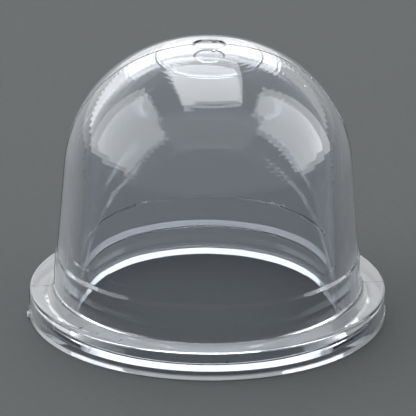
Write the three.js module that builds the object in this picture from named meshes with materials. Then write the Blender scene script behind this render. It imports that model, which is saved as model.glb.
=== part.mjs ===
// Clear moulded primer bulb: a thin flexible dome on a flat clamping flange, open underneath.
// It is one moulding, turned about the Z axis. Millimetres, +Z up, with the origin on the axis
// at the level that the flange stands on.
import * as THREE from 'three';

// Flange
const flangeDiameter = 22.3;
const flangeThickness = 1.8;
const flangeEdgeRound = 0.2;

// Sealing lip, a thin ring under the flange's edge that stands a little proud of the rim
const lipDiameter = 22.4;
const lipWidth = 0.98;
const lipHeight = 0.36;
const lipRound = 0.08;
const lipInnerSlope = 0.18;

// Underside inside the lip, which stays clear of the seat
const undersideClearance = 0.3;

// Collar, the thick foot of the dome on the flange
const collarFootDiameter = 19.24;
const collarTopDiameter = 19.06;
const collarHeight = 2.15;
const collarFootRound = 0.3;

// Shoulder, the small step from the collar up to the flared wall
const shoulderTopDiameter = 18.82;
const shoulderHeight = 0.25;
const shoulderRound = 0.1;

// Flare, where the side wall spreads towards the shoulder
const flareDiameter = 18.54;
const flareHeight = 1.1;
const flareRound = 8;

// Dome, outside
const crownHeight = 17.7;
const domeDiameter = 17.88;
const crownRadius = 10.9;
const knuckleRadius = 8.24;

// Gate mark, the shallow dish where the plastic entered the mould
const gateDiameter = 2.1;
const gateDepth = 0.12;
const gateSlope = 0.15;

// Hollow
const sideWall = 1.15;
const crownWall = 1.1;
const throatDiameter = 16.48;
const throatRound = 0.12;

// Steps round the axis and along the curves
const turnSteps = 72;
const crownSteps = 5;
const knuckleSteps = 9;
const flareSteps = 3;
const roundSteps = 2;

function point(radius, height) {
  return new THREE.Vector2(radius, height);
}

// Points along an arc, both ends included.
function arc(centre, radius, startAngle, endAngle, steps) {
  return Array.from({ length: steps + 1 }, (_, i) => {
    const angle = startAngle + ((endAngle - startAngle) * i) / steps;
    return point(centre.x + radius * Math.cos(angle), centre.y + radius * Math.sin(angle));
  });
}

// A round between two straight runs that meet at a corner, never longer than half of either run.
function roundCorner(before, corner, after, radius, steps) {
  const back = before.clone().sub(corner);
  const on = after.clone().sub(corner);
  const halfAngle = Math.acos(back.clone().normalize().dot(on.clone().normalize())) / 2;
  const longest = Math.min(back.length(), on.length()) / 2;
  const setback = Math.min(radius / Math.tan(halfAngle), longest);
  const fitted = setback * Math.tan(halfAngle);
  back.normalize();
  on.normalize();
  const centre = back.clone().add(on).normalize().multiplyScalar(fitted / Math.sin(halfAngle)).add(corner);
  const start = back.multiplyScalar(setback).add(corner).sub(centre).angle();
  let end = on.multiplyScalar(setback).add(corner).sub(centre).angle();
  if (end - start > Math.PI) end -= 2 * Math.PI;
  if (start - end > Math.PI) end += 2 * Math.PI;
  return arc(centre, fitted, start, end, steps);
}

// The two arcs of a dome, from its crown down to where a straight wall from the foot touches it.
function domeArcs(topHeight, sideRadius, crown, knuckle, foot) {
  const crownCentre = point(0, topHeight - crown);
  const knuckleOffset = sideRadius - knuckle;
  const rise = Math.sqrt((crown - knuckle) ** 2 - knuckleOffset ** 2);
  const knuckleCentre = point(knuckleOffset, crownCentre.y + rise);
  const meetAngle = Math.atan2(rise, knuckleOffset);
  const toFoot = foot.clone().sub(knuckleCentre);
  const footAngle = Math.atan2(toFoot.y, toFoot.x);
  const touchAngle = footAngle + Math.acos(knuckle / toFoot.length());
  return {
    crown: arc(crownCentre, crown, Math.PI / 2, meetAngle, crownSteps),
    knuckle: arc(knuckleCentre, knuckle, meetAngle, touchAngle, knuckleSteps).slice(1),
    centre: crownCentre,
  };
}

// The crown's arc outside the gate mark, with the mark's flat floor in the middle.
function crownWithGate(crownArc, centre) {
  const gateRadius = gateDiameter / 2;
  const rimHeight = centre.y + Math.sqrt(crownRadius ** 2 - gateRadius ** 2);
  const floorHeight = crownHeight - gateDepth;
  return [
    point(0, floorHeight),
    point(gateRadius - gateSlope, floorHeight),
    point(gateRadius, rimHeight),
    ...crownArc.filter((p) => p.x > gateRadius + gateSlope),
  ];
}

function outerProfile() {
  const shoulderFoot = point(collarTopDiameter / 2, flangeThickness + collarHeight);
  const shoulderTop = point(shoulderTopDiameter / 2, shoulderFoot.y + shoulderHeight);
  const flare = point(flareDiameter / 2, shoulderTop.y + flareHeight);
  const collarFoot = point(collarFootDiameter / 2, flangeThickness);
  const flangeEdge = point(flangeDiameter / 2, flangeThickness);
  const lipTopInner = point(flangeDiameter / 2, lipHeight);
  const lipTopOuter = point(lipDiameter / 2, lipHeight);
  const lipFootOuter = point(lipDiameter / 2, 0);
  const lipFootInner = point(lipDiameter / 2 - lipWidth, 0);
  const dome = domeArcs(crownHeight, domeDiameter / 2, crownRadius, knuckleRadius, flare);
  const wallTop = dome.knuckle[dome.knuckle.length - 1];
  return [
    ...crownWithGate(dome.crown, dome.centre),
    ...dome.knuckle,
    ...roundCorner(wallTop, flare, shoulderTop, flareRound, flareSteps),
    ...roundCorner(flare, shoulderTop, shoulderFoot, shoulderRound, roundSteps),
    ...roundCorner(shoulderTop, shoulderFoot, collarFoot, shoulderRound, roundSteps),
    ...roundCorner(shoulderFoot, collarFoot, flangeEdge, collarFootRound, roundSteps),
    ...roundCorner(collarFoot, flangeEdge, lipTopInner, flangeEdgeRound, roundSteps),
    lipTopInner,
    lipTopOuter,
    ...roundCorner(lipTopOuter, lipFootOuter, lipFootInner, lipRound, roundSteps),
    lipFootInner,
  ];
}

// From the lip's inner edge, across the raised underside and up the inside to the crown.
function innerProfile() {
  const lipRoot = point(lipDiameter / 2 - lipWidth - lipInnerSlope, undersideClearance);
  const throat = point(throatDiameter / 2, undersideClearance);
  const dome = domeArcs(
    crownHeight - crownWall,
    domeDiameter / 2 - sideWall,
    crownRadius - crownWall,
    knuckleRadius - sideWall,
    throat,
  );
  const inside = [...dome.crown, ...dome.knuckle].reverse();
  return [
    lipRoot,
    ...roundCorner(lipRoot, throat, inside[0], throatRound, roundSteps),
    ...inside,
  ];
}

// LatheGeometry turns its profile about Y, so the turned body is tipped up onto +Z.
function bulbGeometry() {
  const profile = [...outerProfile(), ...innerProfile()].reverse();
  profile[0].x = 0;
  profile[profile.length - 1].x = 0;
  return new THREE.LatheGeometry(profile, turnSteps).rotateX(Math.PI / 2);
}

const clearPlastic = new THREE.MeshStandardMaterial({
  color: 0xdde2ea,
  roughness: 0.08,
  metalness: 0,
  transparent: true,
  opacity: 0.3,
});

const bulb = new THREE.Mesh(bulbGeometry(), clearPlastic);
bulb.name = 'primer_bulb';

const part = new THREE.Group();
part.add(bulb);

export default part;
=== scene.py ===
"""Looks for a clear moulded primer bulb that stands on a plain floor.

Everything is in metres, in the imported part's own frame: +Z up the bulb's axis, X along the mould's
parting line, and the origin where the flange stands.
"""
import enum
import logging
import math
from dataclasses import dataclass, field
from typing import Callable

import bmesh
import bpy
from mathutils import Matrix, Vector


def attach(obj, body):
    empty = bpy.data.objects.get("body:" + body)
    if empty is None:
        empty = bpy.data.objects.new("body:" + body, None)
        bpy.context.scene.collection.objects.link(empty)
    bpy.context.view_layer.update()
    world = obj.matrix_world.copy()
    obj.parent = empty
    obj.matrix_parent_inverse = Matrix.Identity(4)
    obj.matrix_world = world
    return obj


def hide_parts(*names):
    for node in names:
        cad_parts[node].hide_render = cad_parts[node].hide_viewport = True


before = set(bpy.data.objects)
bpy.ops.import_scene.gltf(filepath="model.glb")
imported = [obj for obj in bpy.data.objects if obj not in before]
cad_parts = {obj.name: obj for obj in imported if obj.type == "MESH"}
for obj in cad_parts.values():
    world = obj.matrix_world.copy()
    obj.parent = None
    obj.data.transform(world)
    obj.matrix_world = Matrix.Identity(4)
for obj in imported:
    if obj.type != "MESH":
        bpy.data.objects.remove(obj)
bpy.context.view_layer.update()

LOG = logging.getLogger("primer_bulb")
MM = 0.001
BODY = "root"
CAD_NODE = "primer_bulb"
PLASTIC_SLOT = "clear_plastic"
ORIGIN = Vector((0, 0, 0))
UP = Vector((0, 0, 1))
WHITE = (1.0, 1.0, 1.0, 1.0)
# Points closer than this are one point
MERGE = 1e-7
# The outer skin faces away from this point, and the hollow faces it
UNDER_BULB = Vector((0, 0, -5 * MM))
# Where a noise factor nearly always lies
NOISE_REACH = (0.3, 0.7)


def linear(level: float) -> float:
    """Turns a display level from 0 to 1 into scene-linear light."""
    return level / 12.92 if level <= 0.04045 else ((level + 0.055) / 1.055) ** 2.4


def arc(centre: Vector, radius: float, start: float, end: float, steps: int) -> list[Vector]:
    """Walks along an arc in the half section.

    Args:
        centre: The arc's centre, as radius and height.
        radius: The arc's radius.
        start: The angle of the first point, in radians.
        end: The angle of the last point, in radians.
        steps: How many chords the arc has.

    Returns:
        The arc's points, both ends included.
    """
    angles = (start + (end - start) * i / steps for i in range(steps + 1))
    return [centre + radius * Vector((math.cos(a), math.sin(a))) for a in angles]


def rounded(before: Vector, corner: Vector, after: Vector, radius: float, steps: int) -> list[Vector]:
    """Rounds a corner between two straight runs of the half section.

    Args:
        before: Where the first run comes from.
        corner: Where the runs meet.
        after: Where the second run goes.
        radius: The round's radius, kept within half of either run.
        steps: How many chords the round has.

    Returns:
        The round's points.
    """
    back, ahead = before - corner, after - corner
    half = back.angle(ahead) / 2
    setback = min(radius / math.tan(half), back.length / 2, ahead.length / 2)
    fitted = setback * math.tan(half)
    back.normalize()
    ahead.normalize()
    centre = corner + (back + ahead).normalized() * (fitted / math.sin(half))
    first, last = corner + back * setback - centre, corner + ahead * setback - centre
    start, end = math.atan2(first.y, first.x), math.atan2(last.y, last.x)
    if end - start > math.pi:
        end -= 2 * math.pi
    if start - end > math.pi:
        end += 2 * math.pi
    return arc(centre, fitted, start, end, steps)


def supported(points: list[Vector], margin: float) -> list[Vector]:
    """Adds a point near each end of every long straight run, so that smooth shading leaves it flat.

    A run is long where the added points leave at least half of it between them.

    Args:
        points: The half section's points.
        margin: How far from a run's ends the added points lie.

    Returns:
        The points with the added ones between them.
    """
    out = [points[0]]
    for a, b in zip(points, points[1:]):
        run = b - a
        if run.length > 4 * margin:
            step = run.normalized() * margin
            out += [a + step, b - step]
        out.append(b)
    return out


class Nodes:
    """Adds and links the nodes of one shader tree."""

    def __init__(self, tree: bpy.types.NodeTree) -> None:
        """Empties the tree."""
        self.tree = tree
        tree.nodes.clear()

    def add(self, kind: str, settings: dict[str, object] | None = None, **inputs: object) -> bpy.types.Node:
        """Adds one node.

        Args:
            kind: The node's type name, without "ShaderNode".
            settings: The node's own properties.
            **inputs: Its sockets by name, with _ for a space, each a value or another node's output.

        Returns:
            The new node.
        """
        node = self.tree.nodes.new("ShaderNode" + kind)
        for key, value in (settings or {}).items():
            setattr(node, key, value)
        for key, value in inputs.items():
            self.feed(node.inputs[key.replace("_", " ")], value)
        return node

    def feed(self, socket: bpy.types.NodeSocket, value: object) -> None:
        """Links an output to a socket, or sets the socket's own value.

        Args:
            socket: The input to feed.
            value: What feeds it, an output or a plain value.
        """
        if isinstance(value, bpy.types.NodeSocket):
            self.tree.links.new(value, socket)
        else:
            socket.default_value = value

    def math(self, operation: str, *values: object) -> bpy.types.NodeSocket:
        """Adds a Math node whose result is held between 0 and 1.

        Args:
            operation: The node's operation.
            *values: Its inputs in order, each a value or another node's output.

        Returns:
            The node's result.
        """
        node = self.add("Math", {"operation": operation, "use_clamp": True})
        for socket, value in zip(node.inputs, values):
            self.feed(socket, value)
        return node.outputs[0]

    def noise(self, scale: float, detail: float) -> bpy.types.NodeSocket:
        """Adds a noise on Object coordinates and returns its factor."""
        place = self.add("TexCoord").outputs["Object"]
        return self.add("TexNoise", Vector=place, Scale=scale, Detail=detail).outputs["Fac"]

    def place(self) -> bpy.types.Node:
        """Adds the Object coordinates, split into X, Y and Z, and returns the node."""
        return self.add("SeparateXYZ", None, Vector=self.add("TexCoord").outputs["Object"])

    def between(
        self, value: object, reach: tuple[float, float], ends: tuple[object, object]
    ) -> bpy.types.NodeSocket:
        """Maps a value's reach onto two ends, held between them.

        Args:
            value: The value or socket to map.
            reach: Where the value gives the first end and the second.
            ends: What comes out there, each a value or a socket.

        Returns:
            The mapped value.
        """
        names = {"From_Min": reach[0], "From_Max": reach[1], "To_Min": ends[0], "To_Max": ends[1]}
        return self.add("MapRange", None, Value=value, **names).outputs["Result"]

    def spread(self, factor: bpy.types.NodeSocket, low: float, high: float) -> bpy.types.NodeSocket:
        """Maps a noise factor's usual reach onto a range and returns the result."""
        return self.between(factor, NOISE_REACH, (low, high))


def new_material(name: str) -> tuple[bpy.types.Material, Nodes]:
    """Makes a material with an empty shader tree.

    Args:
        name: The material's name.

    Returns:
        The material and what adds its nodes.
    """
    material = bpy.data.materials.new(name)
    material.use_nodes = True
    return material, Nodes(material.node_tree)


@dataclass(frozen=True)
class ClearPlastic:
    """Clear flexible plastic, glossy from the mould, with a faint cool tint and a little haze."""

    colour: tuple[float, float, float, float] = (0.93, 0.96, 1.0, 1.0)
    transmission: float = 0.975
    ior: float = 1.5
    roughness: tuple[float, float] = (0.012, 0.035)
    absorption: tuple[float, float, float, float] = (0.85, 0.93, 1.0, 1.0)
    density: float = 30.0
    cloud_scale: float = 350.0
    cloud_detail: float = 3.0
    ripple_scale: float = 420.0
    ripple_detail: float = 1.0
    ripple_height: float = 0.004 * MM
    wall_haze: float = 0.5
    wall_haze_facing: tuple[float, float] = (0.48, 0.8)
    flange_haze: float = 0.35
    flange_inner: float = 9.75 * MM
    flange_top: float = 1.8 * MM
    flange_top_reach: float = 0.06 * MM
    lip_haze: float = 0.6
    lip_top: float = 0.34 * MM

    def haze(self, nodes: Nodes) -> bpy.types.NodeSocket:
        """Adds the haze of the matt-moulded flange and lip, and of walls that are seen edge on.

        Args:
            nodes: The material's nodes.

        Returns:
            How much light the surface scatters, from 0 to 1.
        """
        place = nodes.place().outputs
        flat = nodes.add("CombineXYZ", None, X=place["X"], Y=place["Y"])
        reach = nodes.add("VectorMath", {"operation": "LENGTH"}, Vector=flat.outputs[0]).outputs["Value"]
        on_flange = nodes.math("GREATER_THAN", reach, self.flange_inner)
        on_top = nodes.math("COMPARE", place["Z"], self.flange_top, self.flange_top_reach)
        on_lip = nodes.math("LESS_THAN", place["Z"], self.lip_top)
        top = nodes.math("MULTIPLY", on_top, self.flange_haze)
        lip = nodes.math("MULTIPLY", on_lip, self.lip_haze)
        matt = nodes.math("MULTIPLY", nodes.math("ADD", top, lip), on_flange)
        edge_on = nodes.add("LayerWeight").outputs["Facing"]
        wall = nodes.between(edge_on, self.wall_haze_facing, (0.0, self.wall_haze))
        outside = nodes.math("SUBTRACT", 1.0, nodes.add("NewGeometry").outputs["Backfacing"])
        return nodes.math("MULTIPLY", nodes.math("MAXIMUM", matt, wall), outside)

    def material(self) -> bpy.types.Material:
        """Makes the shader: a clear body, cloudy gloss, haze and the mould's faint ripples.

        Returns:
            The finished material.
        """
        material, nodes = new_material(PLASTIC_SLOT)
        cloud = nodes.noise(self.cloud_scale, self.cloud_detail)
        ripple = nodes.noise(self.ripple_scale, self.ripple_detail)
        bump = nodes.add("Bump", Strength=1.0, Distance=self.ripple_height, Height=ripple)
        shell = nodes.add(
            "BsdfPrincipled",
            None,
            Base_Color=self.colour,
            Roughness=nodes.spread(cloud, *self.roughness),
            IOR=self.ior,
            Transmission_Weight=nodes.math("SUBTRACT", self.transmission, self.haze(nodes)),
            Normal=bump.outputs["Normal"],
        )
        body = nodes.add("VolumeAbsorption", None, Color=self.absorption, Density=self.density)
        nodes.add("OutputMaterial", None, Surface=shell.outputs[0], Volume=body.outputs[0])
        return material


@dataclass(frozen=True)
class Grime:
    """A grain of dark dirt."""

    colour: tuple[float, float, float, float] = (0.02, 0.018, 0.016, 1.0)
    roughness: tuple[float, float] = (0.6, 0.95)
    grain_scale: float = 9000.0
    grain_detail: float = 2.0

    def material(self) -> bpy.types.Material:
        """Makes the shader: dull and dark, with a fine grain.

        Returns:
            The finished material.
        """
        material, nodes = new_material("grime")
        rough = nodes.spread(nodes.noise(self.grain_scale, self.grain_detail), *self.roughness)
        shell = nodes.add("BsdfPrincipled", None, Base_Color=self.colour, Roughness=rough)
        nodes.add("OutputMaterial", None, Surface=shell.outputs[0])
        return material


@dataclass(frozen=True)
class PlainFloor:
    """A plain matt grey sheet with a very fine tooth."""

    level: float = 0.46
    tint: tuple[float, float, float] = (0.95, 1.0, 1.03)
    variation: float = 0.006
    roughness: float = 0.9
    sheen_level: float = 0.1
    tooth_scale: float = 2500.0
    tooth_detail: float = 2.0
    tooth_height: float = 0.03 * MM
    tooth_strength: float = 0.6

    def material(self) -> bpy.types.Material:
        """Makes the shader: one grey with a faint tooth.

        Returns:
            The finished material.
        """
        material, nodes = new_material("floor")
        tooth = nodes.noise(self.tooth_scale, self.tooth_detail)
        grey = nodes.spread(tooth, linear(self.level - self.variation), linear(self.level + self.variation))
        red, green, blue = (nodes.math("MULTIPLY", grey, share) for share in self.tint)
        colour = nodes.add("CombineColor", None, Red=red, Green=green, Blue=blue)
        bump = nodes.add("Bump", Strength=self.tooth_strength, Distance=self.tooth_height, Height=tooth)
        shell = nodes.add(
            "BsdfPrincipled",
            None,
            Base_Color=colour.outputs[0],
            Roughness=self.roughness,
            Specular_IOR_Level=self.sheen_level,
            Normal=bump.outputs["Normal"],
        )
        nodes.add("OutputMaterial", None, Surface=shell.outputs[0])
        return material


@dataclass(frozen=True)
class Glow:
    """The light of a studio panel: plain on matt surfaces, and as bright as it looks in gloss and glass."""

    name: str
    plain: float
    shown: float
    shown_at_rear: float
    fade: tuple[float, float] = (0.1, 0.45)

    def material(self) -> bpy.types.Material:
        """Makes the shader: an emission whose strength depends on what the ray last met.

        Returns:
            The finished material.
        """
        material, nodes = new_material(self.name)
        path = nodes.add("LightPath").outputs
        in_gloss = nodes.math("ADD", path["Is Glossy Ray"], path["Is Transmission Ray"])
        before_matt = nodes.math("SUBTRACT", 1.0, path["Diffuse Depth"])
        seen = nodes.math("MULTIPLY", in_gloss, before_matt)
        depth = nodes.place().outputs["Y"]
        shown = nodes.between(depth, self.fade, (self.shown, self.shown_at_rear))
        strength = nodes.between(seen, (0.0, 1.0), (self.plain, shown))
        glow = nodes.add("Emission", None, Color=WHITE, Strength=strength)
        nodes.add("OutputMaterial", None, Surface=glow.outputs[0])
        return material


def make_piece(name: str, bm: bmesh.types.BMesh, material: bpy.types.Material) -> bpy.types.Object:
    """Turns a bmesh into an object at the origin with one material.

    Args:
        name: The object's name.
        bm: The shape, which is freed.
        material: What it is made of.

    Returns:
        The new object, linked into the scene.
    """
    mesh = bpy.data.meshes.new(name)
    bm.to_mesh(mesh)
    bm.free()
    mesh.materials.append(material)
    piece = bpy.data.objects.new(name, mesh)
    bpy.context.scene.collection.objects.link(piece)
    LOG.info("%s: %d faces", name, len(mesh.polygons))
    return piece


def sharpen(bm: bmesh.types.BMesh, angle: float) -> None:
    """Shades the faces smooth and keeps the steep edges sharp.

    Args:
        bm: The shape.
        angle: How far an edge's faces may turn before it counts as sharp.
    """
    for face in bm.faces:
        face.smooth = True
    for edge in bm.edges:
        edge.smooth = edge.calc_face_angle(0.0) < angle


class RaisedMark(enum.Enum):
    """The plain raised marks that the mould leaves on the flange, by how far round each reaches."""

    PIP = 0.3 * MM
    SHORT_BAR = 0.75 * MM
    BAR = 1.4 * MM


@dataclass
class Flange:
    """The clamping flange and the sealing lip under its edge."""

    radius: float = 11.15 * MM
    thickness: float = 1.8 * MM
    edge_round: float = 0.2 * MM
    lip_radius: float = 11.2 * MM
    lip_width: float = 0.98 * MM
    lip_height: float = 0.36 * MM
    lip_round: float = 0.08 * MM
    lip_slope: float = 0.18 * MM
    clearance: float = 0.3 * MM


@dataclass
class Collar:
    """The thick foot of the dome, the small shoulder on it and the flare above."""

    foot_radius: float = 9.62 * MM
    top_radius: float = 9.53 * MM
    height: float = 2.15 * MM
    foot_round: float = 0.3 * MM
    shoulder_radius: float = 9.41 * MM
    shoulder_height: float = 0.25 * MM
    shoulder_round: float = 0.25 * MM
    flare_radius: float = 9.31 * MM
    flare_height: float = 1.1 * MM
    flare_round: float = 8.0 * MM


@dataclass
class Dome:
    """The thin dome, its hollow and the marks at its crown."""

    height: float = 17.7 * MM
    side_radius: float = 8.94 * MM
    crown_radius: float = 10.9 * MM
    knuckle_radius: float = 8.24 * MM
    side_wall: float = 1.15 * MM
    crown_wall: float = 1.1 * MM
    throat_radius: float = 8.24 * MM
    throat_round: float = 0.12 * MM
    gate_radius: float = 1.05 * MM
    gate_depth: float = 0.12 * MM
    gate_slope: float = 0.15 * MM
    gate_ring_gap: float = 0.08 * MM
    core_ring_radius: float = 3.05 * MM
    core_ring_width: float = 0.1 * MM
    core_ring_height: float = 0.035 * MM
    crown_steps: int = 24
    side_steps: int = 32

    def arcs(
        self, inset: float, crown_inset: float, foot: Vector
    ) -> tuple[list[Vector], list[Vector], Vector]:
        """Works out the dome's two arcs, down to where a straight wall from the foot touches them.

        Args:
            inset: How far inside the outer surface the side lies.
            crown_inset: How far inside it the crown lies.
            foot: Where the straight wall starts.

        Returns:
            The crown's points, the knuckle's points and the crown arc's centre.
        """
        crown = self.crown_radius - crown_inset
        knuckle = self.knuckle_radius - inset
        offset = self.side_radius - inset - knuckle
        rise = math.sqrt((crown - knuckle) ** 2 - offset**2)
        crown_centre = Vector((0, self.height - crown_inset - crown))
        knuckle_centre = Vector((offset, crown_centre.y + rise))
        meet = math.atan2(rise, offset)
        reach = foot - knuckle_centre
        touch = math.atan2(reach.y, reach.x) + math.acos(knuckle / reach.length)
        top = arc(crown_centre, crown, math.pi / 2, meet, self.crown_steps)
        side = arc(knuckle_centre, knuckle, meet, touch, self.side_steps)
        return top, side[1:], crown_centre


@dataclass
class MouldMarks:
    """What the mould leaves on the plastic: its parting line, plain raised marks and a nub of flash."""

    line_width: float = 0.07 * MM
    line_height: float = 0.025 * MM
    burr_places: tuple[float, ...] = (-3.75 * MM, 6.4 * MM)
    burr_reach: float = 0.1 * MM
    burr_height: float = 0.05 * MM
    mark_inner: float = 10.42 * MM
    mark_outer: float = 10.84 * MM
    mark_height: float = 0.05 * MM
    mark_slope: float = 0.03 * MM
    marks: tuple[tuple[float, RaisedMark], ...] = (
        (-143.5, RaisedMark.BAR),
        (-136.2, RaisedMark.SHORT_BAR),
        (-132.6, RaisedMark.PIP),
        (-126.8, RaisedMark.BAR),
    )
    nub_place: float = -176.0
    nub_width: float = 0.5 * MM
    nub_height: float = 0.16 * MM
    nub_slope: float = 0.05 * MM
    nib_place: tuple[float, float] = (0.33 * MM, 0.7 * MM)
    nib_reach: float = 0.16 * MM
    nib_height: float = 0.1 * MM


@dataclass
class BulbMoulding:
    """The whole clear moulding, turned in one piece."""

    flange: Flange = field(default_factory=Flange)
    collar: Collar = field(default_factory=Collar)
    dome: Dome = field(default_factory=Dome)
    marks: MouldMarks = field(default_factory=MouldMarks)
    finish: ClearPlastic = field(default_factory=ClearPlastic)
    turn_steps: int = 256
    round_steps: int = 6
    sharp_angle: float = math.radians(28)
    support: float = 0.03 * MM

    def outer_outline(self) -> list[Vector]:
        """Walks the outside, from the crown down to the foot of the sealing lip.

        Returns:
            The outer half section.
        """
        f, c, d, n = self.flange, self.collar, self.dome, self.round_steps
        shoulder_foot = Vector((c.top_radius, f.thickness + c.height))
        shoulder_top = Vector((c.shoulder_radius, shoulder_foot.y + c.shoulder_height))
        flare = Vector((c.flare_radius, shoulder_top.y + c.flare_height))
        collar_foot = Vector((c.foot_radius, f.thickness))
        flange_edge = Vector((f.radius, f.thickness))
        lip_top = Vector((f.radius, f.lip_height))
        lip_edge = Vector((f.lip_radius, f.lip_height))
        lip_foot = Vector((f.lip_radius, 0))
        lip_inner = Vector((f.lip_radius - f.lip_width, 0))
        crown, side, centre = d.arcs(0.0, 0.0, flare)
        return [
            *self.gate(crown, centre),
            *side,
            *rounded(side[-1], flare, shoulder_top, c.flare_round, 2 * n),
            *rounded(flare, shoulder_top, shoulder_foot, c.shoulder_round, n),
            *rounded(shoulder_top, shoulder_foot, collar_foot, c.shoulder_round, n),
            *rounded(shoulder_foot, collar_foot, flange_edge, c.foot_round, n),
            Vector((self.marks.mark_inner, f.thickness)),
            Vector((self.marks.mark_outer, f.thickness)),
            *rounded(collar_foot, flange_edge, lip_top, f.edge_round, n),
            lip_top,
            lip_edge,
            *rounded(lip_edge, lip_foot, lip_inner, f.lip_round, n),
            lip_inner,
        ]

    def gate(self, crown: list[Vector], centre: Vector) -> list[Vector]:
        """Puts the shallow gate dish into the crown's arc.

        Args:
            crown: The crown's points.
            centre: The crown arc's centre.

        Returns:
            The crown's points with the dish, from the axis outwards.
        """
        d = self.dome
        rim = Vector((d.gate_radius, centre.y + math.sqrt(d.crown_radius**2 - d.gate_radius**2)))
        floor = d.height - d.gate_depth
        flat = d.gate_radius - d.gate_slope
        rings = int(flat / d.gate_ring_gap)
        dish = [Vector((flat * i / rings, floor)) for i in range(rings + 1)]
        return [*dish, rim, *(p for p in crown if p.x > d.gate_radius + d.gate_slope)]

    def inner_outline(self) -> list[Vector]:
        """Walks the underside and the hollow, from the lip up to the inside of the crown.

        Returns:
            The inner half section.
        """
        f, d = self.flange, self.dome
        lip_root = Vector((f.lip_radius - f.lip_width - f.lip_slope, f.clearance))
        throat = Vector((d.throat_radius, f.clearance))
        crown, side, centre = d.arcs(d.side_wall, d.crown_wall, throat)
        inside = [*self.core_ring(crown, centre), *side][::-1]
        return [lip_root, *rounded(lip_root, throat, inside[0], d.throat_round, self.round_steps), *inside]

    def core_ring(self, crown: list[Vector], centre: Vector) -> list[Vector]:
        """Puts the thin ring that the core pin leaves into the inside of the crown.

        Args:
            crown: The points of the crown's inside.
            centre: Their arc's centre.

        Returns:
            The points with the ring, from the axis outwards.
        """
        d = self.dome
        radius = (crown[0] - centre).length
        half = d.core_ring_width / 2

        def at(reach: float, drop: float) -> Vector:
            """A point on the inside of the crown, or below it."""
            return Vector((reach, centre.y + math.sqrt(radius**2 - reach**2) - drop))

        ring = [
            at(d.core_ring_radius - half, 0.0),
            at(d.core_ring_radius, d.core_ring_height),
            at(d.core_ring_radius + half, 0.0),
        ]
        inner = [p for p in crown if p.x < d.core_ring_radius - d.core_ring_width]
        outer = [p for p in crown if p.x > d.core_ring_radius + d.core_ring_width]
        return [*inner, *ring, *outer]

    def turned(self) -> bmesh.types.BMesh:
        """Spins the half section into the closed moulding.

        Returns:
            The moulding's shape, with its faces outwards.
        """
        points = supported([*self.outer_outline(), *self.inner_outline()], self.support)
        bm = bmesh.new()
        verts = [bm.verts.new((max(p.x, 0.0), 0.0, p.y)) for p in points]
        edges = [bm.edges.new(pair) for pair in zip(verts, verts[1:])]
        bmesh.ops.spin(
            bm,
            geom=[*verts, *edges],
            cent=ORIGIN,
            axis=UP,
            angle=2 * math.pi,
            steps=self.turn_steps,
            use_merge=True,
        )
        bmesh.ops.remove_doubles(bm, verts=bm.verts[:], dist=MERGE)
        bmesh.ops.recalc_face_normals(bm, faces=bm.faces[:])
        return bm

    def outer_faces(
        self, bm: bmesh.types.BMesh, keep: Callable[[Vector], bool]
    ) -> list[bmesh.types.BMFace]:
        """Finds faces of the outer skin.

        Args:
            bm: The moulding.
            keep: Says whether a face's middle is in the wanted place.

        Returns:
            The faces that look away from under the bulb, and that keep accepts.
        """
        found = []
        for face in bm.faces:
            middle = face.calc_center_median()
            if face.normal.dot(middle - UNDER_BULB) > 0 and keep(middle):
                found.append(face)
        return found

    def raise_pad(
        self, bm: bmesh.types.BMesh, keep: Callable[[Vector], bool], slope: float, height: float
    ) -> None:
        """Raises a pad with sloping sides on the outer skin.

        Args:
            bm: The moulding.
            keep: Says whether a face's middle is on the pad.
            slope: How far the sides lean inwards.
            height: How far the pad rises.
        """
        bmesh.ops.inset_region(
            bm,
            faces=self.outer_faces(bm, keep),
            thickness=slope,
            depth=height,
            use_even_offset=True,
            use_boundary=True,
        )

    def add_marks(self, bm: bmesh.types.BMesh) -> None:
        """Raises the plain marks on the flange and the nub of flash on its lip.

        Args:
            bm: The moulding.
        """
        m, f = self.marks, self.flange

        def near(p: Vector, place: float, width: float, radius: float) -> bool:
            """Whether a point lies within a width round a place in degrees."""
            return abs(math.atan2(p.y, p.x) - math.radians(place)) < width / 2 / radius

        for place, mark in m.marks:

            def on_mark(p: Vector, place: float = place, mark: RaisedMark = mark) -> bool:
                """Whether a point is on the flange's top, between the mark's ends."""
                inside = m.mark_inner < math.hypot(p.x, p.y) < m.mark_outer and p.z > f.lip_height
                return inside and near(p, place, mark.value, (m.mark_inner + m.mark_outer) / 2)

            self.raise_pad(bm, on_mark, m.mark_slope, m.mark_height)

        def on_lip(p: Vector) -> bool:
            """Whether a point is on the lip's outside, at the nub."""
            return near(p, m.nub_place, m.nub_width, f.lip_radius) and f.lip_round < p.z < f.lip_height

        self.raise_pad(bm, on_lip, m.nub_slope, m.nub_height)

    def add_parting_line(self, bm: bmesh.types.BMesh) -> None:
        """Cuts two lines beside the XZ plane and lifts the skin between them into a fine ridge.

        Args:
            bm: The moulding.
        """
        m = self.marks
        half = m.line_width / 2
        for y in (-half, half):
            bmesh.ops.bisect_plane(
                bm,
                geom=[*bm.verts, *bm.edges, *bm.faces],
                dist=MERGE,
                plane_co=(0, y, 0),
                plane_no=(0, 1, 0),
            )
        bm.normal_update()
        ridge = [
            v
            for v in bm.verts
            if abs(v.co.y) < MERGE
            and v.normal.dot(v.co - UNDER_BULB) > 0
            and math.hypot(v.co.x, v.co.y) > self.dome.gate_radius
            and v.co.z > self.flange.lip_height
        ]
        for v in ridge:
            burr = any(abs(v.co.x - x) < m.burr_reach for x in m.burr_places)
            v.co += v.normal * (m.burr_height if burr else m.line_height)

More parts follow.
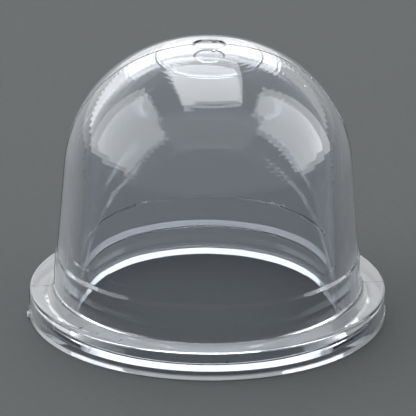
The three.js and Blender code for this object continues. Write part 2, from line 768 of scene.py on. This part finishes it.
    def add_nib(self, bm: bmesh.types.BMesh) -> None:
        """Lifts the small nib that the broken sprue leaves in the gate dish.

        Args:
            bm: The moulding.
        """
        m, d = self.marks, self.dome
        place = Vector(m.nib_place)
        for v in bm.verts:
            away = (v.co.xy - place).length
            if v.co.z > d.height - d.crown_wall / 2 and away < m.nib_reach:
                v.co.z += m.nib_height * (1 - (away / m.nib_reach) ** 2)

    def build(self) -> bpy.types.Object:
        """Builds, shades and dresses the moulding.

        Returns:
            The moulding, riding on the part's body in place of its CAD node.
        """
        bm = self.turned()
        self.add_marks(bm)
        self.add_nib(bm)
        self.add_parting_line(bm)
        bm.normal_update()
        sharpen(bm, self.sharp_angle)
        piece = make_piece("clear_bulb", bm, self.finish.material())
        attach(piece, BODY)
        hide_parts(CAD_NODE)
        return piece


@dataclass
class DirtSpeck:
    """One grain of dirt stuck to the front of the rim."""

    place: Vector = field(default_factory=lambda: Vector((0.65 * MM, -11.13 * MM, 1.19 * MM)))
    radius: float = 0.07 * MM
    flatness: float = 0.5
    finish: Grime = field(default_factory=Grime)

    def build(self) -> bpy.types.Object:
        """Builds the grain half sunk into the rim.

        Returns:
            The grain, riding on the part's body.
        """
        bm = bmesh.new()
        flatten = Matrix.Diagonal((1.0, self.flatness, 1.0, 1.0))
        matrix = Matrix.Translation(self.place) @ flatten
        bmesh.ops.create_icosphere(bm, subdivisions=2, radius=self.radius, matrix=matrix)
        sharpen(bm, math.pi)
        piece = make_piece("dirt_speck", bm, self.finish.material())
        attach(piece, BODY)
        return piece


@dataclass
class Panel:
    """A flat studio light, which the camera sees only in gloss and glass."""

    glow: Glow
    corners: tuple[tuple[float, float, float], ...]

    def build(self) -> bpy.types.Object:
        """Builds the panel from its corners, hidden from the camera.

        Returns:
            The panel.
        """
        bm = bmesh.new()
        bm.faces.new([bm.verts.new(corner) for corner in self.corners])
        panel = make_piece(self.glow.name, bm, self.glow.material())
        panel.visible_camera = False
        panel.visible_shadow = False
        return panel


@dataclass
class Studio:
    """A plain grey floor, an even surround and six soft panels."""

    floor_finish: PlainFloor = field(default_factory=PlainFloor)
    floor_size: float = 4.0
    floor_gap: float = 0.02 * MM
    surround: float = 0.4
    panels: tuple[Panel, ...] = (
        Panel(
            Glow("top_panel", 1.3, 4.8, 3.4),
            ((-0.119, -0.04, 0.4), (0.15, -0.014, 0.4), (0.118, 0.411, 0.4), (-0.164, 0.526, 0.4)),
        ),
        Panel(
            Glow("left_panel", 1.7, 2.8, 2.8),
            ((-0.4, 0.344, 0.554), (-0.4, -0.354, 0.611), (-0.4, -0.148, 0.063), (-0.4, 0.224, 0.036)),
        ),
        Panel(
            Glow("right_panel", 0.8, 3.3, 3.3),
            ((0.4, 0.272, 0.656), (0.4, -0.281, 0.703), (0.4, -0.085, 0.031), (0.4, 0.216, 0.023)),
        ),
        Panel(
            Glow("rear_panel", 0.8, 0.9, 0.9),
            ((-1.04, 0.6, 0.72), (0.218, 0.6, 0.384), (0.218, 0.6, 0.011), (-1.04, 0.6, 0.02)),
        ),
        Panel(
            Glow("rear_strip", 0.6, 1.5, 1.5),
            ((-0.11, 0.5, 0.01), (0.11, 0.5, 0.01), (0.3, 0.5, 0.31), (-0.3, 0.5, 0.31)),
        ),
        Panel(
            Glow("front_panel", 0.5, 0.75, 0.75),
            ((-0.3, -0.42, 0.4), (0.3, -0.42, 0.4), (0.3, -0.06, 0.4), (-0.3, -0.06, 0.4)),
        ),
    )

    def build(self) -> None:
        """Builds the floor, the surround and the panels."""
        bm = bmesh.new()
        place = Matrix.Translation((0, 0, -self.floor_gap))
        bmesh.ops.create_grid(bm, x_segments=1, y_segments=1, size=self.floor_size / 2, matrix=place)
        make_piece("floor", bm, self.floor_finish.material())
        world = bpy.data.worlds.new("surround")
        bpy.context.scene.world = world
        world.use_nodes = True
        nodes = Nodes(world.node_tree)
        sky = nodes.add("Background", None, Color=WHITE, Strength=self.surround)
        nodes.add("OutputWorld", None, Surface=sky.outputs[0])
        for panel in self.panels:
            panel.build()


@dataclass
class PhotoCamera:
    """The camera at the photograph's place, fitted to the flange's and the dome's outlines."""

    distance: float = 0.25
    elevation: float = math.radians(20.76)
    azimuth: float = math.radians(-2.9)
    aim_height: float = 8.0 * MM
    pitch: float = math.radians(-0.2368)
    roll: float = math.radians(0.45)
    focal_pixels: float = 4017.0
    image_pixels: float = 416.0
    sensor: float = 36.0

    def build(self) -> bpy.types.Object:
        """Places the camera and makes it the scene's own.

        Returns:
            The camera.
        """
        flat = math.cos(self.elevation)
        back = Vector(
            (math.sin(self.azimuth) * flat, -math.cos(self.azimuth) * flat, math.sin(self.elevation))
        )
        data = bpy.data.cameras.new("photo_camera")
        data.sensor_width = self.sensor
        data.lens = self.sensor * self.focal_pixels / self.image_pixels
        data.clip_start = MM
        camera = bpy.data.objects.new("photo_camera", data)
        place = Matrix.Translation(Vector((0, 0, self.aim_height)) + back * self.distance)
        look = back.to_track_quat("Z", "Y").to_matrix().to_4x4()
        tilt = Matrix.Rotation(self.pitch, 4, "X") @ Matrix.Rotation(self.roll, 4, "Z")
        camera.matrix_world = place @ look @ tilt
        bpy.context.scene.collection.objects.link(camera)
        bpy.context.scene.camera = camera
        return camera


def main() -> None:
    """Builds the bulb, its speck of dirt, the studio and the camera, in that order."""
    logging.basicConfig(level=logging.INFO)
    BulbMoulding().build()
    DirtSpeck().build()
    Studio().build()
    PhotoCamera().build()
    bpy.context.scene.view_settings.view_transform = "Standard"


if __name__ == "__main__":
    main()
